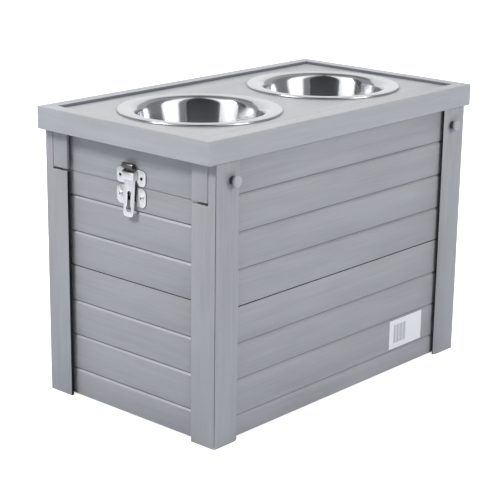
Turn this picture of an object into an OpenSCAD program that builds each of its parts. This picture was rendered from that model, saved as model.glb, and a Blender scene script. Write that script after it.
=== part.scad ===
// Elevated dog feeder with storage: a chest of grooved grey boards between L-shaped corner
// posts, a framed lid that holds two lift-out steel bowls, and a drop hasp on the front end.
// Origin: centre of the footprint, on the floor. +Z is up and +X runs along the long side.
// The hasp is on the front end (-X). The lid turns on two butt hinges at the back end (+X).

/* [Overall] */
// Height from the floor to the top of the lid
total_h = 438; // [420:1:480]
// Length of the lid
lid_l = 600; // [580:1:660]
// Width of the lid
lid_w = 340; // [330:1:380]
// How far the lid stands out past the posts at each end
end_overhang = 14; // [12:0.5:18]
// How far the lid stands out past the posts at each side
side_overhang = 1; // [0:0.5:4]

/* [Lid] */
// Height of the lid's edge
lid_h = 33; // [30:1:38]
// Width of the rails round the lid
rim_w = 21; // [18:1:26]
// Depth of the tray below the top of the rails
tray_recess = 4.5; // [3:0.5:9]
// Thickness of the tray board
tray_t = 12; // [9:1:14]
// How deep the tray board sits in the rails
tray_dado = 6; // [4:0.5:8]
// Gap between the lid and the tops of the posts
lid_gap = 0.6; // [0.4:0.1:1.2]
// Width of the batten under the middle of the tray
batten_w = 40; // [30:1:60]
// Thickness of the batten under the middle of the tray
batten_t = 12; // [8:1:14]

/* [Posts] */
// Width of a corner post on the end faces
post_w = 45; // [42:1:50]
// Width of a corner post on the side faces
post_side_w = 49; // [46:1:54]
// Thickness of the post in front of the panel slot
post_lip = 4.5; // [3.5:0.5:5]
// Thickness of the post behind the panel slot
post_back = 4; // [3:0.5:6]
// Solid width of a post before its panel slot
slot_from = 25; // [24:0.5:27]
// Width of the eased inner edge on the side faces
ease_w = 12; // [6:0.5:12]
// Drop of the eased inner edge on the side faces
ease_drop = 3; // [1:0.1:3]
// Width of the open line where the two boards of a post meet
arris_gap = 0.7; // [0.4:0.1:1.2]
// Depth of the open line where the two boards of a post meet
arris_depth = 5; // [3:0.5:7]

/* [Panels] */
// Thickness of the wall boards
panel_t = 13; // [11:0.5:15]
// How far the wall boards stand back from the faces of the posts
panel_recess = 9; // [7:0.5:11]
// Gap between the ends of the wall boards and the bottoms of the slots
panel_play = 1; // [0.5:0.5:3]
// Gap between the wall boards and the floor
floor_gap = 2; // [1:0.5:6]
// Distance from one groove to the next
groove_pitch = 53.5; // [48:0.5:58]
// How far the open line of a joint lies above the even step of the grooves
joint_rise = 1.5; // [0:0.5:3]
// Width of a groove at the face
groove_w = 5; // [4:0.2:7]
// Height of the wide slope on the lower side of a groove
groove_rise = 2.6; // [1:0.2:3]
// Height of the steep slope on the upper side of a groove
groove_fall = 0.7; // [0.4:0.1:1.4]
// Depth of a groove
groove_d = 2.2; // [1:0.1:3]
// Height of the joint between the two boards of a side wall
side_joint_z = 193.5; // [180:1:215]
// Height of the joint between the two boards of an end wall
end_joint_z = 204; // [180:1:215]
// Open line between two boards at the face
joint_gap = 1.3; // [0.6:0.1:2]
// Thickness of the tongue on a board
tongue_t = 4.5; // [3.5:0.5:5]
// Height of the tongue on a board
tongue_h = 6; // [4:0.5:8]
// Play round the tongue in its groove
tongue_play = 0.2; // [0.1:0.05:0.4]

/* [Apron] */
// Height of the apron that hangs from the front of the lid
apron_h = 58; // [50:1:64]
// Gap between the apron and the board below it
apron_gap = 0.8; // [0.6:0.1:3]
// Gap under the post blocks that hang with the apron
block_gap = 3.5; // [2:0.5:5]
// Width of the post that stays beside a post block
block_keep = 14.5; // [12:0.5:18]
// Gap between a post block and the post beside it
block_side_gap = 1; // [0.6:0.1:2]
// Section of the cleats behind the apron
cleat_w = 20; // [15:1:22]
// Length of each cleat behind the apron
cleat_l = 52; // [40:1:54]
// Distance between the cleats behind the apron
cleat_apart = 124; // [116:2:130]

/* [Floor] */
// Thickness of the floor board
floor_t = 10; // [6:1:15]
// Height of the underside of the floor board
floor_z = 20; // [14:1:40]
// Section of the cleats that carry the floor board
floor_cleat = 12; // [8:1:14]
// Gap round the floor board
floor_play = 1; // [0.5:0.5:3]

/* [Pegs] */
// Diameter of a peg's head
peg_head_d = 16.5; // [12:0.5:19]
// Thickness of a peg's head
peg_head_t = 4; // [2:0.5:6]
// How far a peg stands out from the post
peg_stand = 11; // [7:0.5:14]
// Diameter of a peg's neck
peg_neck_d = 12; // [8:0.5:12]
// Diameter of a peg's shank
peg_shank_d = 6; // [4:0.5:8]
// Distance of a peg from the end face of the post
peg_in = 31.5; // [31:0.5:34]
// Distance of a peg below the lid
peg_down = 26; // [24:1:45]

/* [Bowls] */
// Diameter over the rim of a bowl
bowl_d = 239; // [225:1:250]
// Diameter of a bowl's mouth
mouth_d = 182; // [165:1:184]
// Depth of a bowl below its rim
bowl_depth = 70; // [55:1:80]
// Thickness of the steel
steel_t = 0.9; // [0.8:0.1:1.2]
// Diameter of the rolled edge of the rim
curl_d = 3.2; // [2.8:0.2:5]
// Slope of the wide rim towards the mouth, in degrees
rim_slope = 2; // [0:0.5:3]
// Radius from the rim into the wall
mouth_r = 7; // [5:0.5:12]
// Radius from the wall into the bottom
bottom_r = 18; // [10:1:26]
// Taper of the wall, in degrees
wall_taper = 12; // [4:0.5:16]
// Distance between the centres of the bowls
bowl_pitch = 280; // [265:1:290]

/* [Hasp] */
// Thickness of the hasp's two plates
plate_t = 1.2; // [1:0.1:1.5]
// Thickness of the drop bar
bar_t = 1.2; // [1:0.1:1.5]
// Width of the drop bar
bar_w = 21; // [18:0.5:22]
// Length of the drop bar below its eye
bar_l = 73; // [70:1:80]
// How far the drop bar lifts
bar_lift = 21; // [18:0.5:22]
// Radius of the pin in the bar's eye
hasp_pin_r = 3; // [2:0.1:3.2]
// Length of the pin in the bar's eye
hasp_pin_l = 20; // [17:0.5:21]
// Width over the ears of both plates
hasp_w = 58; // [54:1:66]
// Height of the ears on the guide
guide_h = 23.5; // [22:0.5:28]
// Height of the raised bridge on the guide
bridge_h = 15.4; // [12:0.2:16]
// Height of the ears on the keeper
keeper_h = 28; // [24:0.5:28]
// Height of the web between the keeper's ears
keeper_web_h = 18; // [16:0.5:22]
// Radius of the stud's head
stud_head_r = 4.1; // [3.6:0.1:4.4]
// Radius of the stud's shank
stud_r = 2.5; // [2:0.1:2.8]
// Thickness of the stud's head
stud_head_t = 1; // [0.9:0.1:1.4]
// Distance between the screws of each plate
hasp_screw_pitch = 42; // [38:0.5:44]
// How far the free drop bar can swing out, in degrees
bar_swing = 1.5; // [1:0.1:2]

/* [Hinges] */
// Length of each hinge
hinge_l = 50; // [40:1:60]
// Distance of each hinge from the middle
hinge_y = 80; // [60:1:85]
// Thickness of the hinge leaves
leaf_t = 1.5; // [1.2:0.1:1.8]
// Outer radius of the knuckles
knuckle_r = 3.2; // [2.8:0.1:3.4]
// Radius of the hinge pin
hinge_pin_r = 1.5; // [1.2:0.1:1.7]
// Height of the leaf on the back of the chest
back_leaf_h = 24; // [18:1:30]
// Width of the leaf under the lid
lid_leaf_w = 27; // [24:1:30]
// Width of the cleats that the leaves under the lid are screwed to
hinge_cleat_w = 30; // [26:1:32]
// Height of the rail that carries the hinges
hinge_rail_h = 40; // [34:1:60]
// Distance of the hinge axis from the back face and from the lid
axis_off = 3.5; // [3.5:0.1:4]
// Gap between the back wall and the lid, where the leaves lie
hinge_gap = 2.5; // [2.3:0.1:4]

/* [Screws] */
// Radius of a screw's shank
screw_r = 1.5; // [1.2:0.1:1.8]
// Radius of a countersunk screw head
csk_r = 2.9; // [2.5:0.1:3.4]
// Radius of the heads on the keeper
pan_r = 3.4; // [3:0.1:4]
// Height of the heads on the keeper
pan_h = 1.7; // [1:0.1:1.7]

/* [Hidden] */
// clearance of turning and sliding fits, and of a screw in its hole
running = 0.06;
screw_play = 0.02;
move_gap = 0.3;
over = 1; // how far cutters pass through what they cut
$fn = 64;

case_l = lid_l - 2 * end_overhang;
case_w = lid_w - 2 * side_overhang;
px = case_l / 2; // outer face of the posts at the ends
py = case_w / 2; // outer face of the posts at the sides
lid_z = total_h - lid_h; // underside of the rails
post_h = lid_z - lid_gap;
tray_top = total_h - tray_recess;
tray_z = tray_top - tray_t;

slot_w = panel_recess - post_lip + panel_t;
post_t = post_lip + slot_w + post_back;
face_x = px - panel_recess; // outer face of the end walls
face_y = py - panel_recess; // outer face of the side walls
in_x = face_x - panel_t; // inner faces of the walls
in_y = face_y - panel_t;
end_wall_l = case_w - 2 * (slot_from + panel_play);
side_wall_l = case_l - 2 * (slot_from + panel_play);

apron_z = lid_z - apron_h;
front_top = apron_z - apron_gap;
back_top = lid_z - hinge_gap;
notch_z = apron_z - 1;
block_z = notch_z + block_gap;
peg_z = lid_z - peg_down;

hole_r = mouth_d / 2 + 0.6 * mouth_r; // clears the bend under a bowl's rim

axis_x = px + axis_off;
axis_z = lid_z - axis_off;

plate_mid = apron_z + 12; // height of the guide's screws
guide_z = apron_z + 0.5;
eye_z = plate_mid + 16;
stud_z = apron_z - 11.6;
keeper_mid = stud_z - 4; // height of the keeper's screws
keeper_z = keeper_mid - keeper_h / 2;
stud_gap = bar_t + move_gap; // space for the bar behind the stud's head
hook_d = plate_t + move_gap / 2; // back of the hooked bar, out from the wall
free_d = plate_t + stud_gap + stud_head_t + move_gap;
bar_lean = asin((free_d - hook_d) / (eye_z - stud_z)); // the free bar clears the stud's head
eye_r = hasp_pin_r + running + bar_t;
eye_d = hook_d + eye_r;
bridge_top = eye_z - eye_r - move_gap;
bridge_z = bridge_top - bridge_h;
swing_room = (eye_z + bar_lift - bridge_z) * sin(bar_lean + bar_swing);
bridge_d = hook_d + bar_t + swing_room + move_gap;
bridge_in = bar_w / 2 + 0.4;
ear_w = hasp_w / 2 - bridge_in;

board_grey = "#9b9da2";
rim_grey = "#b0b2b7";
tray_grey = "#c3c5ca";
plate_white = "#e4e2da";
bright_steel = "#c9cbce";

// ---- helpers ----

module flip_x(on) { if (on) mirror([1, 0, 0]) children(); else children(); }
module flip_y(on) { if (on) mirror([0, 1, 0]) children(); else children(); }

// puts a piece that is drawn from the outer corner of the front right post on any corner
module corner(back, left) {
  flip_x(back) flip_y(left) translate([-px, -py, 0]) children();
}

// draws on the front wall: x is across, y is up and z is out from the wall's face
module on_front(out = 0) {
  translate([-face_x - out, 0, 0]) rotate([90, 0, -90]) children();
}

function arc(c, r, a0, a1, n) =
  [for (i = [0:n]) let (a = a0 + (a1 - a0) * i / n) [c[0] + r * cos(a), c[1] + r * sin(a)]];

// ---- posts: two slotted boards, mitred together in an L ----

module post_slot(width) {
  translate([post_lip, slot_from]) square([slot_w, width - slot_from + over]);
}

module post_face_2d(mitre_gap = 0) {
  difference() {
    polygon([[0, mitre_gap], [post_t, post_t + mitre_gap], [post_t, post_w], [0, post_w]]);
    post_slot(post_w);
    polygon([[-over, -over], [arris_depth, arris_depth],
             [arris_depth, arris_depth + arris_gap * sqrt(2)],
             [-over, arris_gap * sqrt(2) - over]]);
  }
}

module post_side_2d() {
  ease_r = (ease_w * ease_w + ease_drop * ease_drop) / (2 * ease_drop);
  difference() {
    polygon([[0, 0], [post_side_w, 0], [post_side_w, post_t], [post_t, post_t]]);
    mirror([1, -1]) post_slot(post_side_w);
    difference() {
      translate([post_side_w - ease_w, -over]) square([ease_w + over, ease_drop + over]);
      translate([post_side_w - ease_w, ease_r]) circle(ease_r, $fn = 96);
    }
  }
}

module post_face(back, left) {
  color(board_grey) corner(back, left) difference() {
    linear_extrude(post_h) post_face_2d();
    if (!back)
      translate([-over, block_keep, notch_z])
        cube([post_t + 2 * over, post_w, post_h]);
  }
}

module post_side(back, left) {
  color(board_grey) corner(back, left) difference() {
    linear_extrude(post_h) post_side_2d();
    translate([peg_in, -over, peg_z]) rotate([-90, 0, 0])
      cylinder(r = peg_shank_d / 2 + running, h = post_lip + 2 * over);
  }
}

// the post's upper inside part, which is cut free and lifts with the apron
module post_block(left) {
  keep = block_keep + block_side_gap;
  color(board_grey) corner(false, left) translate([0, 0, block_z])
    linear_extrude(lid_z - block_z) intersection() {
      post_face_2d(mitre_gap = block_side_gap);
      translate([0, keep]) square([post_t, post_w - keep]);
    }
}

// ---- walls: tongued boards with grooves across the face ----

// section of a wall board: x is depth from the face and y is height
function wall_section(z0, z1, joint_z, tongue, socket) =
  let (
    even_z = joint_z - joint_rise,
    first = ceil((z0 + groove_w - even_z) / groove_pitch),
    last = floor((z1 - groove_w - even_z) / groove_pitch),
    t0 = (panel_t - tongue_t) / 2,
    t1 = (panel_t + tongue_t) / 2,
    play = tongue_play
  )
  concat(
    socket ? [[t0 - play, z0 + joint_gap], [0, z0 + joint_gap]] : [[0, z0]],
    [for (k = [first:last]) if (k != 0) for (p = [
        [0, -groove_w / 2], [groove_d, groove_rise - groove_w / 2],
        [groove_d, groove_w / 2 - groove_fall], [0, groove_w / 2]])
      [p[0], even_z + k * groove_pitch + p[1]]],
    [[0, z1]],
    tongue ? [[t0, z1], [t0, z1 + tongue_h], [t1, z1 + tongue_h], [t1, z1]] : [],
    [[panel_t, z1], [panel_t, z0]],
    socket ? [[t1 + play, z0], [t1 + play, z0 + tongue_h + play],
              [t0 - play, z0 + tongue_h + play]] : []
  );

// a wall board that faces -X, centred on the X axis
module wall_board(length, section) {
  rotate([90, 0, 0]) linear_extrude(length, center = true) polygon(section);
}

module end_wall(section) {
  translate([-face_x, 0, 0]) wall_board(end_wall_l, section);
}

module side_wall(section) {
  translate([0, -face_y, 0]) rotate([0, 0, 90]) wall_board(side_wall_l, section);
}

module side_wall_lower(left) {
  color(board_grey) flip_y(left)
    side_wall(wall_section(floor_gap, side_joint_z, side_joint_z, true, false));
}

module side_wall_upper(left) {
  color(board_grey) flip_y(left) difference() {
    side_wall(wall_section(side_joint_z, post_h, side_joint_z, false, true));
    for (s = [-1, 1])
      translate([s * (px - peg_in), -face_y - over, peg_z]) rotate([-90, 0, 0])
        cylinder(r = peg_shank_d / 2 + running, h = panel_t - 1 + over);
  }
}

module front_wall_lower() {
  color(board_grey)
    end_wall(wall_section(floor_gap, end_joint_z, end_joint_z, true, false));
}

module front_wall_upper() {
  color(board_grey) difference() {
    end_wall(wall_section(end_joint_z, front_top, end_joint_z, false, true));
    on_hasp_screws(keeper_mid) keeper_screw(screw_play);
  }
}

module back_wall_lower() {
  color(board_grey) mirror([1, 0, 0])
    end_wall(wall_section(floor_gap, end_joint_z, end_joint_z, true, false));
}

module back_wall_upper() {
  color(board_grey) difference() {
    mirror([1, 0, 0])
      end_wall(wall_section(end_joint_z, back_top, end_joint_z, false, true));
    on_back_leaf_screws() wood_screw(back_screw_l, screw_play);
  }
}

// ---- floor ----

module floor_board() {
  color(tray_grey) translate([0, 0, floor_z]) linear_extrude(floor_t) {
    square([2 * (in_x - floor_play), case_w - 2 * (post_w + floor_play)], center = true);
    square([case_l - 2 * (post_side_w + floor_play), 2 * (in_y - floor_play)], center = true);
    square([case_l - 2 * (post_t + floor_play), case_w - 2 * (post_t + floor_play)],
           center = true);
  }
}

module floor_cleats() {
  side_l = case_l - 2 * (post_side_w + floor_play);
  end_l = case_w - 2 * (post_w + floor_play);
  color(board_grey) for (s = [0, 1]) {
    flip_y(s == 1) translate([-side_l / 2, -in_y, floor_z - floor_cleat])
      cube([side_l, floor_cleat, floor_cleat]);
    flip_x(s == 1) translate([-in_x, -end_l / 2, floor_z - floor_cleat])
      cube([floor_cleat, end_l, floor_cleat]);
  }
}

// ---- pegs that lock the side walls in the posts ----

module peg() {
  rotate([90, 0, 0]) rotate_extrude() polygon(concat(
    [[0, -panel_recess - panel_t + 1], [peg_shank_d / 2, -panel_recess - panel_t + 1],
     [peg_shank_d / 2, 0], [peg_neck_d / 2, 0], [peg_neck_d / 2, peg_stand - peg_head_t]],
    [[peg_head_d / 2, peg_stand - peg_head_t]],
    arc([peg_head_d / 2 - 1.5, peg_stand - 1.5], 1.5, 0, 90, 4),
    [[0, peg_stand]]));
}

module assembly_pegs() {
  color(rim_grey) for (left = [0, 1], s = [-1, 1])
    flip_y(left == 1) translate([s * (px - peg_in), -py, peg_z]) peg();
}

// ---- lid: four mitred rails round the tray board ----

module rail_2d() {
  difference() {
    union() {
      square([rim_w, lid_h - 1.5]);
      translate([1.5, 0]) square([rim_w - 2.5, lid_h]);
      translate([1.5, lid_h - 1.5]) circle(1.5);
      translate([rim_w - 1, lid_h - 1]) circle(1);
      translate([rim_w - 2, lid_h - 2]) square([2, 1]);
    }
    translate([rim_w - tray_dado, tray_z - lid_z])
      square([tray_dado + over, tray_t + running]);
  }
}

// a rail along Y at the front end of a lid of the given half length and half width
module rail(half_l, half_w) {
  intersection() {
    translate([-half_l, half_w, lid_z]) rotate([90, 0, 0])
      linear_extrude(2 * half_w) rail_2d();
    translate([0, 0, lid_z - over]) linear_extrude(lid_h + 2 * over)
      polygon([[-half_l, -half_w], [-half_l + rim_w, -half_w + rim_w],
               [-half_l + rim_w, half_w - rim_w], [-half_l, half_w]]);
  }
}

module lid_front_rail() { color(rim_grey) rail(lid_l / 2, lid_w / 2); }
module lid_back_rail() { color(rim_grey) mirror([1, 0, 0]) rail(lid_l / 2, lid_w / 2); }
module lid_right_rail() {
  color(rim_grey) rotate([0, 0, 90]) rail(lid_w / 2, lid_l / 2);
}
module lid_left_rail() {
  color(rim_grey) rotate([0, 0, -90]) rail(lid_w / 2, lid_l / 2);
}

module tray_board() {
  inset = 2 * (rim_w - tray_dado + 0.2);
  color(tray_grey) difference() {
    translate([-(lid_l - inset) / 2, -(lid_w - inset) / 2, tray_z])
      cube([lid_l - inset, lid_w - inset, tray_t]);
    for (s = [-1, 1])
      translate([s * bowl_pitch / 2, 0, tray_z - over])
        cylinder(r = hole_r, h = tray_t + 2 * over, $fn = 128);
  }
}

module tray_batten() {
  batten_l = lid_w - 2 * rim_w;
  color(board_grey) translate([-batten_w / 2, -batten_l / 2, tray_z - batten_t])
    cube([batten_w, batten_l, batten_t]);
}

// two cleats behind the lid's back rail, where the hinge leaves are screwed on
module hinge_cleat() {
  length = hinge_l + 10;
  color(board_grey) difference() {
    for (y = [-hinge_y, hinge_y])
      translate([lid_l / 2 - rim_w - hinge_cleat_w, y - length / 2, lid_z])
        cube([hinge_cleat_w, length, tray_z - lid_z]);
    on_lid_leaf_screws() wood_screw(lid_screw_l, screw_play);
  }
}

// ---- apron: the top front board and two post blocks, which lift with the lid ----

module apron_board() {
  color(board_grey) difference() {
    translate([-face_x, -end_wall_l / 2, apron_z])
      cube([panel_t, end_wall_l, tray_z - apron_z]);
    on_hasp_screws(plate_mid) guide_screw(screw_play);
    on_apron_screws() wood_screw(apron_screw_l, screw_play);
  }
}

// two cleats beside the front bowl, which join the apron to the tray
module apron_cleat() {
  color(board_grey) difference() {
    for (s = [0, 1]) flip_y(s == 1)
      translate([-in_x, cleat_apart / 2, tray_z - cleat_w]) cube([cleat_w, cleat_l, cleat_w]);
    on_apron_screws() wood_screw(apron_screw_l, screw_play);
  }
}

// ---- screws ----

// a countersunk screw that points down from its head at the origin
module wood_screw(length, grow = 0) {
  head_h = csk_r - screw_r;
  translate([0, 0, -head_h]) cylinder(r1 = screw_r + grow, r2 = csk_r + grow, h = head_h);
  translate([0, 0, -length - grow]) cylinder(r = screw_r + grow, h = length + grow);
}

module cross_recess(size, depth) {
  for (a = [0, 90]) rotate([0, 0, a])
    translate([-size / 2, -size / 8, -depth]) cube([size, size / 4, depth + over]);
}

module driven_screw(length) {
  difference() { wood_screw(length); cross_recess(csk_r * 1.2, 0.8); }
}

back_screw_l = 16;
lid_screw_l = 13;
apron_screw_l = 28;
plate_screw_l = 10;

module on_back_leaf_screws() {
  for (y = [-hinge_y, hinge_y], s = [-1, 1])
    translate([px + leaf_t, y + s * hinge_l * 0.3, axis_z - back_leaf_h * 0.62])
      rotate([0, 90, 0]) children();
}

module on_lid_leaf_screws() {
  for (y = [-hinge_y, hinge_y], s = [-1, 1])
    translate([axis_x - lid_leaf_w * 0.72, y + s * hinge_l * 0.3, lid_z - leaf_t])
      rotate([180, 0, 0]) children();
}

module on_apron_screws() {
  for (s = [-1, 1], t = [0.25, 0.75])
    translate([-in_x + cleat_w, s * (cleat_apart / 2 + t * cleat_l), tray_z - cleat_w / 2])
      rotate([0, 90, 0]) children();
}

module on_hasp_screws(height) {
  on_front() for (s = [-1, 1])
    translate([s * hasp_screw_pitch / 2, height, plate_t]) children();
}

module keeper_screw(grow = 0) {
  translate([0, 0, -plate_screw_l - grow])
    cylinder(r = screw_r + grow, h = plate_screw_l + grow + 0.1);
  rotate_extrude() polygon(concat([[0, 0], [pan_r, 0], [pan_r, pan_h * 0.4]],
    arc([pan_r - pan_h * 0.6, pan_h * 0.4], pan_h * 0.6, 0, 90, 5), [[0, pan_h]]));
}

module guide_screw(grow = 0) {
  head_h = 0.8;
  translate([0, 0, -plate_screw_l - grow])
    cylinder(r = screw_r + grow, h = plate_screw_l + grow + 0.1);
  cylinder(r1 = csk_r, r2 = csk_r * 0.8, h = head_h);
}

module keeper_screws() {
  color(bright_steel) on_hasp_screws(keeper_mid) difference() {
    keeper_screw();
    translate([0, 0, pan_h]) cross_recess(pan_r, 0.9);
  }
}

module guide_screws() {
  color(bright_steel) on_hasp_screws(plate_mid) difference() {
    guide_screw();
    translate([0, 0, 0.8]) cross_recess(csk_r * 1.1, 0.7);
  }
}

module apron_screws() { color(bright_steel) on_apron_screws() driven_screw(apron_screw_l); }
module back_hinge_screws() {
  color(bright_steel) on_back_leaf_screws() driven_screw(back_screw_l);
}
module lid_hinge_screws() {
  color(bright_steel) on_lid_leaf_screws() driven_screw(lid_screw_l);
}

// ---- hinges ----

module hinge_rail() {
  rail_l = case_w - 2 * post_w - 1;
  color(board_grey) difference() {
    translate([face_x, -rail_l / 2, back_top - hinge_rail_h])
      cube([px - face_x, rail_l, hinge_rail_h]);
    on_back_leaf_screws() wood_screw(back_screw_l, screw_play);
  }
}

mid_knuckle = hinge_l * 0.344;
knuckle_gap = 0.4;

module on_axis() {
  for (y = [-hinge_y, hinge_y]) translate([axis_x, y, axis_z]) children();
}

module knuckle(length, hole_r) {
  rotate([90, 0, 0]) difference() {
    cylinder(r = knuckle_r, h = length, center = true, $fn = 32);
    cylinder(r = hole_r, h = length + 2 * over, center = true, $fn = 32);
  }
}

module back_hinge_leaves() {
  side = (hinge_l - mid_knuckle) / 2 - knuckle_gap;
  color(bright_steel) difference() {
    on_axis() {
      for (s = [-1, 1]) translate([0, s * (hinge_l - side) / 2, 0])
        knuckle(side, hinge_pin_r + screw_play);
      difference() {
        translate([-axis_off, -hinge_l / 2, -back_leaf_h])
          cube([leaf_t, hinge_l, back_leaf_h]);
        translate([-axis_off - over, -mid_knuckle / 2 - knuckle_gap, -knuckle_r - knuckle_gap])
          cube([leaf_t + 2 * over, mid_knuckle + 2 * knuckle_gap, knuckle_r + 2]);
        rotate([90, 0, 0])
          cylinder(r = hinge_pin_r + screw_play, h = hinge_l + 2 * over, center = true);
      }
    }
    on_back_leaf_screws() wood_screw(back_screw_l, screw_play);
  }
}

module lid_hinge_leaves() {
  side = (hinge_l - mid_knuckle) / 2;
  color(bright_steel) difference() {
    on_axis() {
      knuckle(mid_knuckle, hinge_pin_r + running);
      difference() {
        translate([-lid_leaf_w, -hinge_l / 2, axis_off - leaf_t])
          cube([lid_leaf_w, hinge_l, leaf_t]);
        for (s = [-1, 1])
          translate([-knuckle_r - knuckle_gap, s * (hinge_l - side) / 2 - side / 2, 0])
            cube([knuckle_r + 2, side, axis_off + over]);
      }
    }
    on_lid_leaf_screws() wood_screw(lid_screw_l, screw_play);
  }
}

module hinge_pins() {
  color(bright_steel) on_axis() rotate([90, 0, 0])
    cylinder(r = hinge_pin_r, h = hinge_l, center = true, $fn = 32);
}

// ---- hasp: a drop bar that hangs from the apron over a stud on the wall ----

// half of a plate: an ear with round outer corners, from its inner edge at the origin
module ear_2d(w, h, r) {
  square([w - r, h]);
  translate([0, r]) square([w, h - 2 * r]);
  for (z = [r, h - r]) translate([w - r, z]) circle(r, $fn = 48);
}

module hasp_guide() {
  color(plate_white) difference() {
    on_front() for (s = [0, 1]) flip_x(s == 1) {
      linear_extrude(plate_t) translate([bridge_in, guide_z]) ear_2d(ear_w, guide_h, 7);
      translate([bridge_in, bridge_z, 0]) cube([plate_t, bridge_h, bridge_d + plate_t]);
      translate([0, bridge_z, bridge_d]) cube([bridge_in + plate_t, bridge_h, plate_t]);
    }
    on_hasp_screws(plate_mid) translate([0, 0, -plate_t - over])
      cylinder(r = screw_r + screw_play, h = plate_t + 2 * over);
  }
}

module hasp_keeper() {
  color(plate_white) difference() {
    on_front() linear_extrude(plate_t) {
      for (s = [0, 1]) flip_x(s == 1)
        translate([bridge_in, keeper_z]) ear_2d(ear_w, keeper_h, 8);
      translate([-bridge_in, stud_z - keeper_web_h * 0.6])
        square([2 * bridge_in, keeper_web_h]);
    }
    on_hasp_screws(keeper_mid) translate([0, 0, -plate_t - over])
      cylinder(r = screw_r + screw_play, h = plate_t + 2 * over);
    on_front() translate([0, stud_z, -over])
      cylinder(r = stud_r - 0.7 + screw_play, h = plate_t + 2 * over);
  }
}

module hasp_stud() {
  crown = 0.6;
  color(bright_steel) on_front() translate([0, stud_z, 0]) rotate_extrude(convexity = 4)
    polygon(concat(
      [[0, 0], [stud_r - 0.7, 0], [stud_r - 0.7, plate_t], [stud_r, plate_t],
       [stud_r, plate_t + stud_gap], [stud_head_r, plate_t + stud_gap]],
      [for (i = [0:4]) let (a = i * 22.5) [
        stud_head_r * (0.55 + 0.45 * cos(a)),
        plate_t + stud_gap + stud_head_t - crown + crown * sin(a)]],
      [[0, plate_t + stud_gap + stud_head_t]]));
}

module on_eye() { on_front(eye_d) translate([0, eye_z, 0]) children(); }

module hasp_pin() {
  color(bright_steel) on_eye() rotate([0, 90, 0])
    cylinder(r = hasp_pin_r, h = hasp_pin_l, center = true);
}

// a round seat for the stud, a neck below it, and the opening that passes the stud's head
module keyhole_2d() {
  seat = stud_r + 1;
  neck = stud_r + 0.35;
  mouth = stud_head_r + 0.5;
  below = eye_z - stud_z;
  translate([0, -below]) circle(seat);
  translate([-neck, -below - bar_lift]) square([2 * neck, bar_lift]);
  translate([0, -below - bar_lift]) circle(mouth);
}

// the bar hangs down from the centre of its eye
module bar_2d() {
  r = 6;
  difference() {
    union() {
      translate([-bar_w / 2, r - bar_l]) square([bar_w, bar_l - r]);
      translate([r - bar_w / 2, -bar_l]) square([bar_w - 2 * r, r]);
      for (s = [-1, 1]) translate([s * (bar_w / 2 - r), r - bar_l]) circle(r);
    }
    keyhole_2d();
  }
}

module hasp_bar() {
  color(plate_white) on_eye() rotate([-bar_lean, 0, 0]) difference() {
    union() {
      translate([0, 0, -eye_r]) linear_extrude(bar_t) bar_2d();
      rotate([0, 90, 0]) cylinder(r = eye_r, h = bar_w, center = true);
    }
    rotate([0, 90, 0])
      cylinder(r = hasp_pin_r + running, h = bar_w + 2 * over, center = true);
  }
}

// ---- bowls ----

// section of the pressed steel sheet: x is radius and y is height above the tray
function bowl_section() =
  let (
    t = steel_t,
    floor_y = curl_d - bowl_depth,
    cr = curl_d / 2,
    curl = [bowl_d / 2 - cr, cr],
    mouth_x = mouth_d / 2 + mouth_r,
    drop = (curl[0] - mouth_x) * tan(rim_slope),
    c1 = [mouth_x, curl_d - drop - mouth_r],
    w1 = [c1[0] + mouth_r * cos(180 - wall_taper), c1[1] + mouth_r * sin(180 - wall_taper)],
    w2_z = floor_y + bottom_r - bottom_r * sin(wall_taper),
    w2 = [w1[0] - (w1[1] - w2_z) * tan(wall_taper), w2_z],
    c2 = [w2[0] - bottom_r * cos(wall_taper), floor_y + bottom_r],
    top = concat(
      arc(curl, cr, -150, 90 - rim_slope, 18),
      arc(c1, mouth_r, 90 - rim_slope, 180 - wall_taper, 8),
      arc(c2, bottom_r, -wall_taper, -90, 10),
      [[0, floor_y]]),
    under = concat(
      [[0, floor_y - t]],
      arc(c2, bottom_r + t, -90, -wall_taper, 10),
      arc(c1, mouth_r - t, 180 - wall_taper, 90 - rim_slope, 8),
      arc(curl, cr - t, 90 - rim_slope, -150, 18))
  )
  concat(top, under);

module bowl(side) {
  color(bright_steel) translate([side * bowl_pitch / 2, 0, tray_top])
    rotate_extrude($fn = 128) polygon(bowl_section());
}

post_face(false, true);  // front_left_post_face
post_side(false, true);  // front_left_post_side
post_face(false, false);  // front_right_post_face
post_side(false, false);  // front_right_post_side
post_face(true, true);  // back_left_post_face
post_side(true, true);  // back_left_post_side
post_face(true, false);  // back_right_post_face
post_side(true, false);  // back_right_post_side
side_wall_lower(true);  // left_wall_lower
side_wall_upper(true);  // left_wall_upper
side_wall_lower(false);  // right_wall_lower
side_wall_upper(false);  // right_wall_upper
front_wall_lower();
front_wall_upper();
back_wall_lower();
back_wall_upper();
floor_board();
floor_cleats();
assembly_pegs();
hasp_keeper();
hasp_stud();
keeper_screws();
hinge_rail();
back_hinge_leaves();
hinge_pins();
back_hinge_screws();
lid_front_rail();
lid_back_rail();
lid_left_rail();
lid_right_rail();
tray_board();
tray_batten();
hinge_cleat();
apron_cleat();
apron_board();
post_block(true);  // apron_left_block
post_block(false);  // apron_right_block
apron_screws();
hasp_guide();
guide_screws();
lid_hinge_leaves();
lid_hinge_screws();
hasp_pin();
hasp_bar();
bowl(-1);  // front_bowl
bowl(1);  // back_bowl
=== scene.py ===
import math

import bmesh
import bpy
from mathutils import Matrix, Vector


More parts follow.
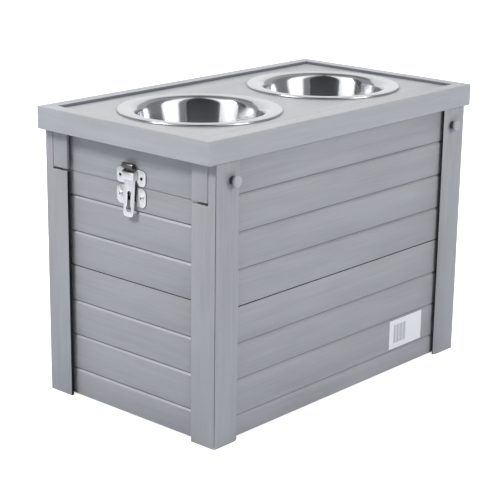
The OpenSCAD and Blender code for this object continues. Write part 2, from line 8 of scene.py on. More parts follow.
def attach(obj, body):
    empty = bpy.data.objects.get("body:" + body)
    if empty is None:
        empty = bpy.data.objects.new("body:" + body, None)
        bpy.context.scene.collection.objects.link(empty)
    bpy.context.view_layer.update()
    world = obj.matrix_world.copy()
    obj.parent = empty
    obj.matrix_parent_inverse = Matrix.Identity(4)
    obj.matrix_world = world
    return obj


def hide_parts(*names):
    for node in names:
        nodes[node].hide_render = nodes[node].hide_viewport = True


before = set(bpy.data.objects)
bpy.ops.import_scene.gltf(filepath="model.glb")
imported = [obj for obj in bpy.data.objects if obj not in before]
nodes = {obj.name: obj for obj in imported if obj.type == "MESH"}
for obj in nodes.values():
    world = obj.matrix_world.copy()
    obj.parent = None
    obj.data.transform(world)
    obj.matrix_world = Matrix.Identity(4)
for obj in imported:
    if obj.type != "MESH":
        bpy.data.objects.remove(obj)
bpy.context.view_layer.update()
scene = bpy.context.scene
scene.view_settings.view_transform = "Standard"

# ---------------------------------------------------------------------------
# Camera. It stands at the height of an adult's waist, off the front right post,
# with a long lens, as for a catalogue picture.
# ---------------------------------------------------------------------------
CAMERA_PLACE = (-1.7119, -1.4951, 0.8664)
CAMERA_AZIMUTH = math.radians(-48.417)
CAMERA_ELEVATION = math.radians(16.498)
CAMERA_ROLL = math.radians(0.796)
LENS_MM = 110.04

back = Vector((
    math.sin(CAMERA_AZIMUTH) * math.cos(CAMERA_ELEVATION),
    -math.cos(CAMERA_AZIMUTH) * math.cos(CAMERA_ELEVATION),
    math.sin(CAMERA_ELEVATION),
))
level = Vector((math.cos(CAMERA_AZIMUTH), math.sin(CAMERA_AZIMUTH), 0.0))
upright = back.cross(level)
right = level * math.cos(CAMERA_ROLL) + upright * math.sin(CAMERA_ROLL)
up = upright * math.cos(CAMERA_ROLL) - level * math.sin(CAMERA_ROLL)

camera_data = bpy.data.cameras.new("catalogue_camera")
camera_data.lens = LENS_MM
camera_data.sensor_width = 36.0
camera_data.sensor_fit = "HORIZONTAL"
camera_data.clip_end = 200.0
camera = bpy.data.objects.new("catalogue_camera", camera_data)
turn = Matrix((right, up, back)).transposed().to_4x4()
camera.matrix_world = Matrix.Translation(CAMERA_PLACE) @ turn
scene.collection.objects.link(camera)
scene.camera = camera


# ---------------------------------------------------------------------------
# Studio. A white paper floor and four softboxes: one for the end, one for the side,
# one overhead and one behind. Only polished metal mirrors the cards round the feeder.
# ---------------------------------------------------------------------------
def srgb(hex_colour):
    """A hex colour as linear red, green, blue and alpha."""
    values = [int(hex_colour[i:i + 2], 16) / 255 for i in (1, 3, 5)]
    linear = [v / 12.92 if v <= 0.04045 else ((v + 0.055) / 1.055) ** 2.4 for v in values]
    return (*linear, 1.0)


def add_node(tree, kind, inputs=None, **settings):
    """Adds a node, sets its properties, and fills its inputs with values or with links."""
    made = tree.nodes.new(kind)
    for name, value in settings.items():
        setattr(made, name, value)
    for name, value in (inputs or {}).items():
        if isinstance(value, bpy.types.NodeSocket):
            tree.links.new(value, made.inputs[name])
        else:
            made.inputs[name].default_value = value
    return made


def new_material(name):
    """An empty material and its node tree."""
    material = bpy.data.materials.new(name)
    material.use_nodes = True
    material.node_tree.nodes.clear()
    return material, material.node_tree


def finished_object(name, mesh_edit, smooth_angle=None):
    """Turns a bmesh into an object at the origin."""
    mesh = bpy.data.meshes.new(name)
    mesh_edit.to_mesh(mesh)
    mesh_edit.free()
    if smooth_angle is not None:
        mesh.polygons.foreach_set("use_smooth", [True] * len(mesh.polygons))
        mesh.set_sharp_from_angle(angle=math.radians(smooth_angle))
    made = bpy.data.objects.new(name, mesh)
    scene.collection.objects.link(made)
    return made


FILL_STRENGTH = 0.30
FLOOR_LIFT = 0.8  # seen by the camera alone, so that the paper stays white
PAPER_WHITE = (0.80, 0.83, 0.90, 1)
FLOOR_HALF = 40.0

world = bpy.data.worlds.new("studio_air")
world.use_nodes = True
scene.world = world
air = world.node_tree
air.nodes.clear()
path = add_node(air, "ShaderNodeLightPath")
seen = add_node(air, "ShaderNodeMath", {0: path.outputs["Is Camera Ray"],
                                        1: path.outputs["Is Transmission Ray"]},
                operation="MAXIMUM")
fill = add_node(air, "ShaderNodeBackground", {"Color": srgb("#f4f6fa"), "Strength": FILL_STRENGTH})
white = add_node(air, "ShaderNodeBackground", {"Color": (1, 1, 1, 1), "Strength": 1.0})
mirrored = add_node(air, "ShaderNodeBackground", {"Color": (1, 1, 1, 1), "Strength": 1.0})
for_metal = add_node(air, "ShaderNodeMixShader", {0: path.outputs["Is Glossy Ray"],
                                                  1: fill.outputs[0], 2: mirrored.outputs[0]})
for_camera = add_node(air, "ShaderNodeMixShader", {0: seen.outputs[0],
                                                   1: for_metal.outputs[0],
                                                   2: white.outputs[0]})
add_node(air, "ShaderNodeOutputWorld", {"Surface": for_camera.outputs[0]})

paper, tree = new_material("white paper floor, matte")
path = add_node(tree, "ShaderNodeLightPath")
matte = add_node(tree, "ShaderNodeBsdfDiffuse", {"Color": PAPER_WHITE})
lift = add_node(tree, "ShaderNodeEmission", {"Color": (1, 1, 1, 1), "Strength": FLOOR_LIFT})
lit = add_node(tree, "ShaderNodeAddShader", {0: matte.outputs[0], 1: lift.outputs[0]})
mixed = add_node(tree, "ShaderNodeMixShader", {0: path.outputs["Is Camera Ray"],
                                               1: matte.outputs[0], 2: lit.outputs[0]})
add_node(tree, "ShaderNodeOutputMaterial", {"Surface": mixed.outputs[0]})
sheet = bmesh.new()
bmesh.ops.create_grid(sheet, x_segments=1, y_segments=1, size=FLOOR_HALF)
floor = finished_object("studio_floor", sheet)
floor.data.materials.append(paper)


def softbox(name, place, aim, width, height, watts, mirrored=True):
    """A rectangular studio lamp that faces the point aim. Metal may mirror it."""
    lamp_data = bpy.data.lights.new(name, "AREA")
    lamp_data.shape = "RECTANGLE"
    lamp_data.size = width
    lamp_data.size_y = height
    lamp_data.energy = watts
    lamp = bpy.data.objects.new(name, lamp_data)
    direction = Vector(place) - Vector(aim)
    lamp.matrix_world = (Matrix.Translation(place)
                         @ direction.to_track_quat("Z", "Y").to_matrix().to_4x4())
    lamp.visible_glossy = mirrored
    scene.collection.objects.link(lamp)


softbox("key_softbox", (-1.75, 0.75, 2.1), (0, 0, 0.3), 0.7, 0.7, 42)
softbox("top_softbox", (0.5, -0.6, 2.6), (0, 0, 0.3), 1.2, 1.2, 17, mirrored=False)
softbox("back_softbox", (2.0, 2.6, 1.7), (0, 0, 0.2), 1.5, 1.4, 26, mirrored=False)
softbox("side_softbox", (0.7, -3.6, 1.7), (0, 0, 0.2), 1.5, 1.6, 54)

# Cards stand round the feeder and run on over it, to a point above it. Each has its
# bearing from the feeder, its width in degrees, its colour and the height of its foot;
# only mirrored rays meet them.
CARD_DISTANCE = 4.0
CARD_TOP = 4.1  # how high a card stands before it turns inwards
ZENITH = 5.0
FLOOR_FOOT = -0.3
HIGH_FOOT = 4.0  # the card behind the feeder hangs above the backdrop
WHITE_CARD = "#ffffff"
WHITE_GLOW = 1.5
CARDS = [
    (-56, 60, "#444547", FLOOR_FOOT), (-24, 5, "#1a1b1c", FLOOR_FOOT),
    (-14, 14, "#8f9092", FLOOR_FOOT), (11, 36, WHITE_CARD, FLOOR_FOOT),
    (50, 44, "#8c8e90", FLOOR_FOOT), (90, 36, "#b9bbbd", FLOOR_FOOT),
    (-104, 36, WHITE_CARD, FLOOR_FOOT), (-131, 18, "#404142", FLOOR_FOOT),
    (-160, 40, "#a9abad", FLOOR_FOOT), (144, 72, "#77797b", HIGH_FOOT),
]
for number, (bearing, spread, tone, foot) in enumerate(CARDS):
    card_material, tree = new_material(f"studio card {number}, plain paper")
    glow = add_node(tree, "ShaderNodeEmission", {
        "Color": srgb(tone), "Strength": WHITE_GLOW if tone == WHITE_CARD else 1.0})
    add_node(tree, "ShaderNodeOutputMaterial", {"Surface": glow.outputs[0]})
    half = CARD_DISTANCE * math.tan(math.radians(spread / 2))
    middle = (CARD_TOP + foot) / 2
    sheet = bmesh.new()
    bmesh.ops.create_grid(sheet, x_segments=1, y_segments=1, size=1.0)
    stand = (Matrix.Rotation(math.radians(bearing), 4, "Z")
             @ Matrix.Translation((0, -CARD_DISTANCE, middle))
             @ Matrix.Rotation(math.radians(90), 4, "X")
             @ Matrix.Diagonal((half, CARD_TOP - middle, 1, 1)))
    bmesh.ops.transform(sheet, matrix=stand, verts=sheet.verts)
    crest = [e for e in sheet.edges if min(v.co.z for v in e.verts) > CARD_TOP - 0.01]
    grown = bmesh.ops.extrude_edge_only(sheet, edges=crest)["geom"]
    bmesh.ops.pointmerge(sheet, verts=[v for v in grown if isinstance(v, bmesh.types.BMVert)],
                         merge_co=(0, 0, ZENITH))
    card = finished_object(f"studio_card_{number}", sheet)
    card.data.materials.append(card_material)
    card.visible_camera = False
    card.visible_diffuse = False
    card.visible_transmission = False
    card.visible_shadow = False


# ---------------------------------------------------------------------------
# Corner posts. Each is two slotted boards of grey wood composite, extruded and
# planed, with a mitre down the corner. Their edges are eased by sanding.
# ---------------------------------------------------------------------------
STREAK_MM = 2.2  # the true streaks are finer; drawn so that they show
CLOUD_MM = 55.0
LENGTHWAYS = {"X": 0, "Y": 1, "Z": 2}


def composite(name, colour, along, streak=0.05, roughness=0.46):
    """Extruded wood composite: an even grey with faint streaks along the board."""
    material, tree = new_material(name)
    place = add_node(tree, "ShaderNodeTexCoord").outputs["Object"]

    def stretched(size_mm, ratio, detail, shift):
        scale = [1000.0 / size_mm] * 3
        scale[LENGTHWAYS[along]] /= ratio
        moved = add_node(tree, "ShaderNodeMapping", {"Vector": place, "Scale": scale,
                                                     "Location": (shift, shift, shift)})
        return add_node(tree, "ShaderNodeTexNoise", {"Vector": moved.outputs[0], "Scale": 1.0,
                                                     "Detail": detail, "Roughness": 0.55})

    fine = stretched(STREAK_MM, 40.0, 3.0, 3.1)
    broad = stretched(14.0, 14.0, 2.0, 7.7)
    cloud = stretched(CLOUD_MM, 3.0, 2.0, 1.3)
    grit = add_node(tree, "ShaderNodeTexNoise", {"Vector": place, "Scale": 1400.0,
                                                 "Detail": 2.0})
    first = add_node(tree, "ShaderNodeMath", {0: fine.outputs["Fac"], 1: 0.45},
                     operation="MULTIPLY")
    second = add_node(tree, "ShaderNodeMath", {0: broad.outputs["Fac"], 1: 0.55,
                                               2: first.outputs[0]}, operation="MULTIPLY_ADD")
    third = add_node(tree, "ShaderNodeMath", {0: cloud.outputs["Fac"], 1: 0.4,
                                              2: second.outputs[0]}, operation="MULTIPLY_ADD")
    base = srgb(colour)
    dark = tuple(v * (1 - 2.4 * streak) for v in base[:3]) + (1.0,)
    pale = tuple(v * (1 + 2.4 * streak) for v in base[:3]) + (1.0,)
    amount = add_node(tree, "ShaderNodeMapRange", {"Value": third.outputs[0], "From Min": 0.45,
                                                   "From Max": 0.95})
    tint = add_node(tree, "ShaderNodeMix", {0: amount.outputs[0], 6: dark, 7: pale},
                    data_type="RGBA")
    polish = add_node(tree, "ShaderNodeMapRange", {"Value": second.outputs[0], "From Min": 0.3,
                                                   "From Max": 0.7, "To Min": roughness - 0.06,
                                                   "To Max": roughness + 0.08})
    relief = add_node(tree, "ShaderNodeMath", {0: grit.outputs["Fac"], 1: 0.25,
                                               2: fine.outputs["Fac"]},
                      operation="MULTIPLY_ADD")
    bump = add_node(tree, "ShaderNodeBump", {"Height": relief.outputs[0], "Strength": 0.22,
                                             "Distance": 0.0004})
    skin = add_node(tree, "ShaderNodeBsdfPrincipled", {"Base Color": tint.outputs[2],
                                                       "Roughness": polish.outputs[0],
                                                       "Normal": bump.outputs[0], "IOR": 1.47})
    add_node(tree, "ShaderNodeOutputMaterial", {"Surface": skin.outputs[0]})
    return material


def eased(node, width_mm, material, body, segments=2, angle=25, others=(), cuts=()):
    """A copy of a CAD node with its sharp edges rounded, which stands for the node.
    Each of others is a material and the test that a face's corners pass to get it. Each
    of cuts is an axis and a place on it where the faces are divided."""
    copy = bmesh.new()
    copy.from_mesh(nodes[node].data)
    bmesh.ops.remove_doubles(copy, verts=copy.verts, dist=1e-5)
    bmesh.ops.dissolve_limit(copy, angle_limit=math.radians(0.5), verts=copy.verts,
                             edges=copy.edges, use_dissolve_boundaries=False)
    sharp = [e for e in copy.edges
             if len(e.link_faces) == 2 and e.calc_face_angle() > math.radians(angle)]
    bmesh.ops.bevel(copy, geom=sharp, offset=width_mm / 1000, offset_type="OFFSET",
                    segments=segments, profile=0.5, affect="EDGES", material=-1,
                    clamp_overlap=True)
    for axis, place in cuts:
        bmesh.ops.bisect_plane(copy, geom=copy.verts[:] + copy.edges[:] + copy.faces[:],
                               plane_co=Vector(axis) * place, plane_no=axis)
    made = finished_object(f"{node}_eased", copy, smooth_angle=30)
    made.data.materials.clear()
    made.data.materials.append(material)
    for number, (other, takes_it) in enumerate(others, start=1):
        made.data.materials.append(other)
        for face in made.data.polygons:
            corners = [made.data.vertices[v].co for v in face.vertices]
            if face.material_index == 0 and takes_it(corners):
                face.material_index = number
    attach(made, body)
    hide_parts(node)
    return made


BOARD_GREY = "#a4a5a8"
POST_INNER_Y = 0.1245  # from the middle to the slotted edge of a post's end board
POST_INNER_X = 0.2375  # and of its side board
OUTER_LIP_X = 0.270  # the lip outside the slot lies beyond this
OUTER_LIP_Y = 0.153
post_finish = composite("grey wood composite, extruded and sanded, upright", BOARD_GREY, "Z")
# the slotted edges of the posts are painted near black: painted shade in the slots beside the
# walls
slot_painted_shade_finish = composite("grey wood composite, painted shade on the slotted edges", "#1e1f22",
                        "Z", streak=0.02, roughness=0.8)


def is_slotted_end(corners):
    return (max(abs(c.y) for c in corners) < POST_INNER_Y
            and min(abs(c.x) for c in corners) > OUTER_LIP_X)


def is_slotted_side(corners):
    return (max(abs(c.x) for c in corners) < POST_INNER_X
            and min(abs(c.y) for c in corners) > OUTER_LIP_Y)


for corner in ("front_left", "front_right", "back_left", "back_right"):
    for board, is_slotted in (("face", is_slotted_end), ("side", is_slotted_side)):
        eased(f"{corner}_post_{board}", 0.6, post_finish, "base",
              others=[(slot_painted_shade_finish, is_slotted)])

# ---------------------------------------------------------------------------
# Wall boards. Grooved planks of the same composite, two boards high, that slide
# into the slots of the posts. The streaks run along each board.
# ---------------------------------------------------------------------------
WALL_FACE_X = 0.277  # the outer faces of the end walls and of the side walls
WALL_FACE_Y = 0.160
END_JOINT_Z = 0.204
SIDE_JOINT_Z = 0.1935
side_wall_finish = composite("grey wood composite, extruded, side walls", BOARD_GREY, "X")
end_wall_finish = composite("grey wood composite, extruded, end walls", BOARD_GREY, "Y")
# the upward slopes of the end grooves are painted paler: a painted highlight
groove_slope_painted_highlight_finish = composite("grey wood composite, milled pale, slopes of the end grooves",
                         "#bbbcbf", "Y", streak=0.03, roughness=0.5)
# the floors of the end grooves are painted darker: painted shade inside the grooves
end_groove_painted_shade_finish = composite("grey wood composite, milled, floors of the end grooves",
                              "#7d7e82", "Y", streak=0.03, roughness=0.6)
# the floors of the side grooves are painted darker: painted shade inside the grooves
side_groove_painted_shade_finish = composite("grey wood composite, milled, floors of the side grooves",
                               "#7b7c81", "X", streak=0.03, roughness=0.6)
# the edges where the boards meet are painted near black: painted shade in the joints
joint_painted_shade_finish = composite("grey wood composite, sawn, tongued edges", "#151619", "Y",
                         streak=0.02, roughness=0.8)


def facing(corners):
    return (corners[1] - corners[0]).cross(corners[2] - corners[1]).normalized()


def is_groove_slope(corners):
    """True for the slope of a groove that looks upwards."""
    return 0.45 < facing(corners).z < 0.85


def is_groove_floor(corners):
    """True for the upright floor of a groove and the short slope above it."""
    inset = [min(abs(WALL_FACE_X - abs(c.x)), abs(WALL_FACE_Y - abs(c.y))) for c in corners]
    return 0.0015 < max(inset) < 0.0030 and facing(corners).z < 0.2


def is_joint(corners):
    """True for the level edges where the lower board meets the upper one."""
    near = max(min(abs(c.z - END_JOINT_Z), abs(c.z - SIDE_JOINT_Z)) for c in corners) < 0.012
    return near and abs(facing(corners).z) > 0.9


for level_name in ("lower", "upper"):
    for side in ("left", "right"):
        eased(f"{side}_wall_{level_name}", 0.3, side_wall_finish, "base",
              others=[(side_groove_painted_shade_finish, is_groove_floor), (joint_painted_shade_finish, is_joint)])
    for end in ("front", "back"):
        eased(f"{end}_wall_{level_name}", 0.3, end_wall_finish, "base",
              others=[(groove_slope_painted_highlight_finish, is_groove_slope), (end_groove_painted_shade_finish, is_groove_floor),
                      (joint_painted_shade_finish, is_joint)])
eased("hinge_rail", 0.5, end_wall_finish, "base")

# ---------------------------------------------------------------------------
# Apron. The top front board and the upper inside parts of the two front posts,
# cut free and hung from the lid, so that the front lifts with it.
# ---------------------------------------------------------------------------
eased("apron_board", 0.4, end_wall_finish, "lid",
      others=[(groove_slope_painted_highlight_finish, is_groove_slope), (end_groove_painted_shade_finish, is_groove_floor)])
for side in ("left", "right"):
    eased(f"apron_{side}_block", 0.5, post_finish, "lid")

# ---------------------------------------------------------------------------
# Inside boards. The floor on its cleats, the battens under the tray: sawn
# composite, left plain because only an open lid shows them.
# ---------------------------------------------------------------------------
INNER_GREY = "#9b9da1"
inner_finish = composite("grey wood composite, sawn, inside boards", INNER_GREY, "X",
                         streak=0.07, roughness=0.6)
inner_cross_finish = composite("grey wood composite, sawn, cross battens", INNER_GREY, "Y",
                               streak=0.07, roughness=0.6)
eased("floor_board", 0.5, inner_finish, "base")
eased("floor_cleats", 0.5, inner_finish, "base")
for batten in ("tray_batten", "hinge_cleat", "apron_cleat"):
    eased(batten, 0.5, inner_cross_finish, "lid")

# ---------------------------------------------------------------------------
# Lid frame and tray. Four mitred rails with an eased top edge, and the sunk
# board that carries the bowls. Planed smoother than the walls, so a little paler.
# The tray's holes are cut wide enough to clear the bend under a bowl's rim.
# ---------------------------------------------------------------------------
LID_GREY = "#b0b1b5"
long_rail_finish = composite("grey wood composite, planed, long rails", LID_GREY, "X",
                             streak=0.04, roughness=0.42)
end_rail_finish = composite("grey wood composite, planed, end rails", LID_GREY, "Y",
                            streak=0.04, roughness=0.42)
# the inner edges of the rails are painted darker: painted shade along the tray's recess
rail_edge_painted_shade_finish = composite("grey wood composite, sawn, inner edges of the rails", "#74767c", "X",
                        streak=0.03, roughness=0.7)
LID_INNER_X = 0.2792  # from the middle to the inner edges of the rails
LID_INNER_Y = 0.1492


def is_inner_edge(corners):
    return (max(abs(c.x) for c in corners) < LID_INNER_X
            or max(abs(c.y) for c in corners) < LID_INNER_Y)


for side in ("left", "right"):
    eased(f"lid_{side}_rail", 0.25, long_rail_finish, "lid",
          others=[(rail_edge_painted_shade_finish, is_inner_edge)])
for end in ("front", "back"):
    eased(f"lid_{end}_rail", 0.25, end_rail_finish, "lid",
          others=[(rail_edge_painted_shade_finish, is_inner_edge)])
BOWL_PITCH = 0.280
HOLE_RADIUS = 0.0952
HOLE_EDGE = 0.001  # a hole's eased edge lies within this of its radius
HOLE_OPENED = 0.0034  # the spun bowls bend wider than the solids, and need this much more
tray = eased("tray_board", 0.4, long_rail_finish, "lid")
for vertex in tray.data.vertices:
    side = math.copysign(BOWL_PITCH / 2, vertex.co.x)
    outwards = Vector((vertex.co.x - side, vertex.co.y, 0.0))
    if outwards.length < HOLE_RADIUS + HOLE_EDGE:
        vertex.co += outwards.normalized() * HOLE_OPENED

# ---------------------------------------------------------------------------
# Pegs. Round moulded plastic heads that lock the side walls into the posts.
# ---------------------------------------------------------------------------
peg_finish, tree = new_material("grey ABS, moulded, fine spark texture")
place = add_node(tree, "ShaderNodeTexCoord").outputs["Object"]
spark = add_node(tree, "ShaderNodeTexNoise", {"Vector": place, "Scale": 900.0, "Detail": 3.0})
bump = add_node(tree, "ShaderNodeBump", {"Height": spark.outputs["Fac"], "Strength": 0.15,
                                         "Distance": 0.0002})
skin = add_node(tree, "ShaderNodeBsdfPrincipled", {"Base Color": srgb("#b2b4b8"),
                                                   "Roughness": 0.42, "IOR": 1.5,
                                                   "Normal": bump.outputs[0]})
add_node(tree, "ShaderNodeOutputMaterial", {"Surface": skin.outputs[0]})
# the necks of the pegs are drawn darker than their heads
neck_finish, tree = new_material("grey ABS, moulded, necks of the pegs, drawn darker")
skin = add_node(tree, "ShaderNodeBsdfPrincipled", {"Base Color": srgb("#4a4748"),
                                                   "Roughness": 0.55, "IOR": 1.5})
add_node(tree, "ShaderNodeOutputMaterial", {"Surface": skin.outputs[0]})
POST_FACE_Y = 0.169
PEG_HEAD_FROM = 0.0071  # out from the post


def below_the_head(corners):
    return max(abs(c.y) for c in corners) < POST_FACE_Y + PEG_HEAD_FROM


eased("assembly_pegs", 0.4, peg_finish, "base", angle=40,
      others=[(neck_finish, below_the_head)])

# ---------------------------------------------------------------------------
# Hasp. Stamped from thin sheet steel and nickel plated, with pressed screws. The
# plates are a warm white, with painted shade on their cut edges, eye and recesses.
# ---------------------------------------------------------------------------
def plated_steel(name, colour, roughness, wear=0.06):
    """Plated steel: a metal whose gloss changes in soft patches."""
    material, tree = new_material(name)
    place = add_node(tree, "ShaderNodeTexCoord").outputs["Object"]
    patch = add_node(tree, "ShaderNodeTexNoise", {"Vector": place, "Scale": 160.0,
                                                  "Detail": 3.0})
    scuff = add_node(tree, "ShaderNodeTexNoise", {"Vector": place, "Scale": 2600.0,
                                                  "Detail": 2.0})
    gloss = add_node(tree, "ShaderNodeMapRange", {"Value": patch.outputs["Fac"],
                                                  "From Min": 0.3, "From Max": 0.7,
                                                  "To Min": roughness - wear,
                                                  "To Max": roughness + wear})
    bump = add_node(tree, "ShaderNodeBump", {"Height": scuff.outputs["Fac"],
                                             "Strength": 0.08, "Distance": 0.0001})
    skin = add_node(tree, "ShaderNodeBsdfPrincipled", {"Base Color": srgb(colour),
                                                       "Metallic": 1.0,
                                                       "Roughness": gloss.outputs[0],
                                                       "Normal": bump.outputs[0]})
    add_node(tree, "ShaderNodeOutputMaterial", {"Surface": skin.outputs[0]})
    return material


hasp_finish = plated_steel("nickel-plated steel, stamped, hasp", "#efeeec", 0.34)
# the cut edges, the eye and the top of the bar are painted dark: painted shade and dark reflection
edge_and_roll_painted_shade_finish = plated_steel("steel, sheared and rolled edges of the hasp", "#6b6865", 0.36)
# the stud and the pin are painted dark: painted dark reflection and shade behind the bar
stud_and_pin_painted_dark_finish = plated_steel("blackened steel, turned, stud and pin", "#5d5a57", 0.22)
screw_finish = plated_steel("zinc-plated steel, pressed, screws", "#dcdcdc", 0.32)
# the cross recesses of the screws are painted near black: painted shade in the recesses
screw_recess_painted_shade_finish = plated_steel("steel, painted shade in the recesses of the screws", "#0d0c0c", 0.5)
# the keeper's face behind the bar is painted near black: a painted shadow of the bar
behind_bar_painted_shadow_finish = plated_steel("plated steel, painted shadow behind the hasp bar", "#161413", 0.5)
SHEET_EDGE = 0.0014
BEHIND_BAR_Y = 0.0098
ROLL_FROM_Z = 0.3655  # the bar is plated white below this height; above it, up to the eye, it is painted dark as shade and reflection
BRIDGE_FROM_X = -0.2790
BRIDGE_CUT_BACK = 0.0042
PLATE_FACE_X = -0.2782
DRIVE_RADIUS = 0.0022
DRIVE_DEPTH = 0.0012
FLUSH = 0.0001  # faces this near to a limit count as on it
GUIDE_SCREW_Z = 0.359
KEEPER_SCREW_Z = 0.3314
SCREW_Y = 0.021


def is_sheet_edge(corners):
    """True for the narrow faces along the cut edges of a plate."""
    across = (corners[1] - corners[0]).normalized()
    spans = []
    for axis in (across, across.cross(corners[2] - corners[1]).normalized().cross(across)):
        along = [c.dot(axis) for c in corners]
        spans.append(max(along) - min(along))
    return min(spans) < SHEET_EDGE


def is_behind_bar(corners):
    """True for the middle of the keeper's face, which carries a painted shadow of the bar."""
    return max(abs(c.y) for c in corners) < BEHIND_BAR_Y + FLUSH


def is_edge_or_roll(corners):
    return is_sheet_edge(corners) or min(c.z for c in corners) > ROLL_FROM_Z - FLUSH


def is_drive_recess(corners):
    """True for the faces of a screw's cross recess."""
    middle = sum(corners, Vector()) / len(corners)
    height = min((GUIDE_SCREW_Z, KEEPER_SCREW_Z), key=lambda z: abs(z - middle.z))
    off_axis = math.hypot(abs(middle.y) - SCREW_Y, middle.z - height)
    level = max(c.x for c in corners) - min(c.x for c in corners) < 1e-6
    return off_axis < DRIVE_RADIUS and (not level or middle.x > PLATE_FACE_X - DRIVE_DEPTH)


guide = eased("hasp_guide", 0.25, hasp_finish, "lid", angle=35,
              others=[(edge_and_roll_painted_shade_finish, is_sheet_edge)])
# the bridge of the solid reaches higher; here its top is cut back and shows the eye
for vertex in guide.data.vertices:
    if vertex.co.x < BRIDGE_FROM_X and vertex.co.z > GUIDE_SCREW_Z:
        vertex.co.z -= BRIDGE_CUT_BACK
eased("hasp_keeper", 0.25, hasp_finish, "base", angle=35,
      others=[(edge_and_roll_painted_shade_finish, is_sheet_edge), (behind_bar_painted_shadow_finish, is_behind_bar)],
      cuts=[((0, 1, 0), -BEHIND_BAR_Y), ((0, 1, 0), BEHIND_BAR_Y)])
eased("hasp_bar", 0.25, hasp_finish, "hasp_bar", angle=35,
      others=[(edge_and_roll_painted_shade_finish, is_edge_or_roll)], cuts=[((0, 0, 1), ROLL_FROM_Z)])
eased("hasp_stud", 0.1, stud_and_pin_painted_dark_finish, "base", angle=35)
eased("hasp_pin", 0.3, stud_and_pin_painted_dark_finish, "hasp_pin", angle=35)
eased("keeper_screws", 0.08, hasp_finish, "base", angle=35,
      others=[(screw_recess_painted_shade_finish, is_drive_recess)])
eased("guide_screws", 0.08, screw_finish, "lid", angle=35,
      others=[(screw_recess_painted_shade_finish, is_drive_recess)])
eased("apron_screws", 0.08, screw_finish, "lid", angle=35)

# ---------------------------------------------------------------------------
# Hinges. Two butt hinges across the back edge, pressed from zinc-plated steel
# strip and rolled round a pin, with countersunk screws.
# ---------------------------------------------------------------------------
hinge_finish = plated_steel("zinc-plated steel, pressed, hinges", "#adafb1", 0.36)
eased("back_hinge_leaves", 0.2, hinge_finish, "base", angle=35)
eased("lid_hinge_leaves", 0.2, hinge_finish, "lid", angle=35)
eased("hinge_pins", 0.2, screw_finish, "base", angle=35)
eased("back_hinge_screws", 0.08, screw_finish, "base", angle=35)
eased("lid_hinge_screws", 0.08, screw_finish, "lid", angle=35)

# ---------------------------------------------------------------------------
# Bowls. Spun from one disc of stainless steel, with a wide flat rim and a rolled
# edge, and polished inside, which leaves faint rings round the wall.
# ---------------------------------------------------------------------------
TRAY_TOP = 0.4335
RIM_RADIUS = 0.1195
MOUTH_RADIUS = 0.091
BOWL_DEPTH = 0.070
SHEET = 0.0009
CURL = 0.0032
CURL_PAST = math.radians(60)  # the rolled edge turns this far in past straight down
RIM_SLOPE = math.radians(2)
MOUTH_BEND = 0.013
BASE_BEND = 0.018
TAPER = math.radians(12)
TURNS = 160

bowl_finish, tree = new_material("stainless steel, spun and mirror polished")
place = add_node(tree, "ShaderNodeTexCoord").outputs["Object"]
# one pattern serves both bowls: the distance from each bowl's own axis is used
near = add_node(tree, "ShaderNodeVectorMath", {0: place}, operation="ABSOLUTE")
centred = add_node(tree, "ShaderNodeVectorMath", {0: near.outputs[0],
                                                  1: (BOWL_PITCH / 2, 0, 0)},
                   operation="SUBTRACT")
parts = add_node(tree, "ShaderNodeSeparateXYZ", {0: centred.outputs[0]})
flat = add_node(tree, "ShaderNodeCombineXYZ", {0: parts.outputs[0], 1: parts.outputs[1]})
radius = add_node(tree, "ShaderNodeVectorMath", {0: flat.outputs[0]}, operation="LENGTH")
rings_at = add_node(tree, "ShaderNodeCombineXYZ", {0: radius.outputs["Value"],
                                                   2: parts.outputs[2]})
rings = add_node(tree, "ShaderNodeTexNoise", {"Vector": rings_at.outputs[0], "Scale": 900.0,
                                              "Detail": 2.0})
rub = add_node(tree, "ShaderNodeMapRange", {"Value": rings.outputs["Fac"], "From Min": 0.3,
                                            "From Max": 0.7, "To Min": 0.15, "To Max": 0.21})
groove = add_node(tree, "ShaderNodeBump", {"Height": rings.outputs["Fac"], "Strength": 0.05,
                                           "Distance": 0.0001})
# the marks of the lathe run round the axis, so reflections smear up and down the wall
turned = add_node(tree, "ShaderNodeTangent", direction_type="RADIAL", axis="Z")
skin = add_node(tree, "ShaderNodeBsdfPrincipled", {"Base Color": srgb("#cdced1"),
                                                   "Metallic": 1.0,
                                                   "Roughness": rub.outputs[0],
                                                   "Anisotropic": 0.85,
                                                   "Anisotropic Rotation": 0.25,
                                                   "Tangent": turned.outputs[0],
                                                   "Normal": groove.outputs[0]})
add_node(tree, "ShaderNodeOutputMaterial", {"Surface": skin.outputs[0]})


def arc_points(centre, radius_m, start, end, steps):
    """Points on an arc in the X-Z plane, from one angle to another."""
    return [(centre[0] + radius_m * math.cos(a), centre[1] + radius_m * math.sin(a))
            for a in (start + (end - start) * i / steps for i in range(steps + 1))]


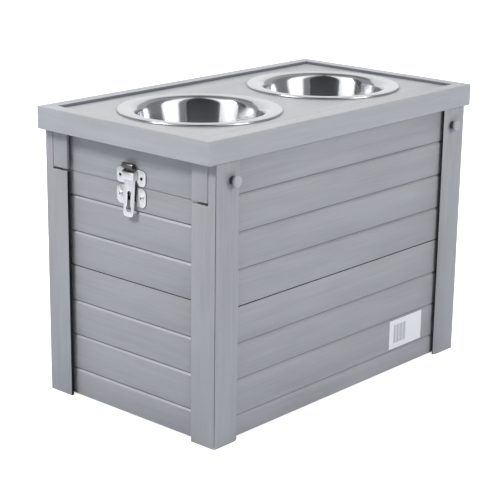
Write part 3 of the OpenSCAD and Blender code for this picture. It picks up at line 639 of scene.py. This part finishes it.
def bowl_section():
    """The upper skin of the bowl and then its underside, from the rolled edge inwards."""
    roll = CURL / 2
    edge = (RIM_RADIUS - roll, roll)
    under_edge = -math.pi / 2 - CURL_PAST
    bend_x = MOUTH_RADIUS + MOUTH_BEND
    drop = (edge[0] - bend_x) * math.tan(RIM_SLOPE)
    bend = (bend_x, CURL - drop - MOUTH_BEND)
    wall_top = (bend[0] - MOUTH_BEND * math.cos(TAPER), bend[1] + MOUTH_BEND * math.sin(TAPER))
    floor_z = CURL - BOWL_DEPTH
    wall_end = floor_z + BASE_BEND - BASE_BEND * math.sin(TAPER)
    base = (wall_top[0] - (wall_top[1] - wall_end) * math.tan(TAPER)
            - BASE_BEND * math.cos(TAPER), floor_z + BASE_BEND)
    quarter = math.pi / 2
    top = (arc_points(edge, roll, under_edge, quarter - RIM_SLOPE, 14)
           + arc_points(bend, MOUTH_BEND, quarter - RIM_SLOPE, math.pi - TAPER, 10)
           + arc_points(base, BASE_BEND, -TAPER, -quarter, 12) + [(0.0, floor_z)])
    under = ([(0.0, floor_z - SHEET)]
             + arc_points(base, BASE_BEND + SHEET, -quarter, -TAPER, 12)
             + arc_points(bend, MOUTH_BEND - SHEET, math.pi - TAPER, quarter - RIM_SLOPE, 10)
             + arc_points(edge, roll - SHEET, quarter - RIM_SLOPE, under_edge, 14))
    return top + under


for name, side in (("front_bowl", -1), ("back_bowl", 1)):
    middle = Vector((side * BOWL_PITCH / 2, 0.0, TRAY_TOP))
    spun = bmesh.new()
    outline = [spun.verts.new(middle + Vector((x, 0.0, z))) for x, z in bowl_section()]
    edges = [spun.edges.new(pair) for pair in zip(outline, outline[1:])]
    edges.append(spun.edges.new((outline[-1], outline[0])))
    bmesh.ops.spin(spun, geom=outline + edges, cent=middle, axis=(0, 0, 1),
                   angle=math.tau, steps=TURNS, use_merge=True)
    bmesh.ops.remove_doubles(spun, verts=spun.verts, dist=1e-6)
    bmesh.ops.dissolve_degenerate(spun, dist=1e-6, edges=spun.edges)
    bmesh.ops.recalc_face_normals(spun, faces=spun.faces)
    bowl = finished_object(f"{name}_spun", spun, smooth_angle=40)
    bowl.data.materials.append(bowl_finish)
    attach(bowl, name)
    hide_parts(name)

# ---------------------------------------------------------------------------
# Label. A white paper sticker low on the right side wall, near the back. It has a
# block of plain upright bars and no words.
# ---------------------------------------------------------------------------
LABEL_LOW = (0.1245, 0.0358)
LABEL_HIGH = (0.2085, 0.0830)
PAPER_THICK = 0.00015

label_finish, tree = new_material("coated paper, white, self-adhesive")
place = add_node(tree, "ShaderNodeTexCoord").outputs["Object"]
fibre = add_node(tree, "ShaderNodeTexNoise", {"Vector": place, "Scale": 500.0, "Detail": 4.0})
shade = add_node(tree, "ShaderNodeMix", {0: fibre.outputs["Fac"], 6: srgb("#e9eaec"),
                                         7: srgb("#f4f4f5")}, data_type="RGBA")
skin = add_node(tree, "ShaderNodeBsdfPrincipled", {"Base Color": shade.outputs[2],
                                                   "Roughness": 0.5, "IOR": 1.5})
add_node(tree, "ShaderNodeOutputMaterial", {"Surface": skin.outputs[0]})
sticker = bmesh.new()
bmesh.ops.create_cube(sticker, size=1.0)
size = (LABEL_HIGH[0] - LABEL_LOW[0], PAPER_THICK, LABEL_HIGH[1] - LABEL_LOW[1])
spot = ((LABEL_LOW[0] + LABEL_HIGH[0]) / 2, -WALL_FACE_Y - PAPER_THICK / 2,
        (LABEL_LOW[1] + LABEL_HIGH[1]) / 2)
bmesh.ops.transform(sticker, matrix=Matrix.Translation(spot) @ Matrix.Diagonal((*size, 1)),
                    verts=sticker.verts)
label = finished_object("blank_label", sticker)
label.data.materials.append(label_finish)
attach(label, "base")

BAR_PITCH = 0.0021
BAR_WIDTHS = (0.0012, 0.0017, 0.0007, 0.0010)  # they repeat, and stand for nothing
BAR_COUNT = 15
BARS_FROM = LABEL_LOW[0] + 0.012
BARS_HEIGHT = 0.030
INK_THICK = 0.00003
ink, tree = new_material("pale grey ink, printed")
skin = add_node(tree, "ShaderNodeBsdfPrincipled", {"Base Color": srgb("#a7abae"),
                                                   "Roughness": 0.6, "IOR": 1.5})
add_node(tree, "ShaderNodeOutputMaterial", {"Surface": skin.outputs[0]})
bars = bmesh.new()
for number in range(BAR_COUNT):
    bar = bmesh.ops.create_cube(bars, size=1.0)["verts"]
    spot = (BARS_FROM + number * BAR_PITCH, -WALL_FACE_Y - PAPER_THICK - INK_THICK / 2,
            (LABEL_LOW[1] + LABEL_HIGH[1]) / 2)
    size = (BAR_WIDTHS[number % len(BAR_WIDTHS)], INK_THICK, BARS_HEIGHT)
    bmesh.ops.transform(bars, matrix=Matrix.Translation(spot) @ Matrix.Diagonal((*size, 1)),
                        verts=bar)
print_bars = finished_object("label_bars", bars)
print_bars.data.materials.append(ink)
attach(print_bars, "base")
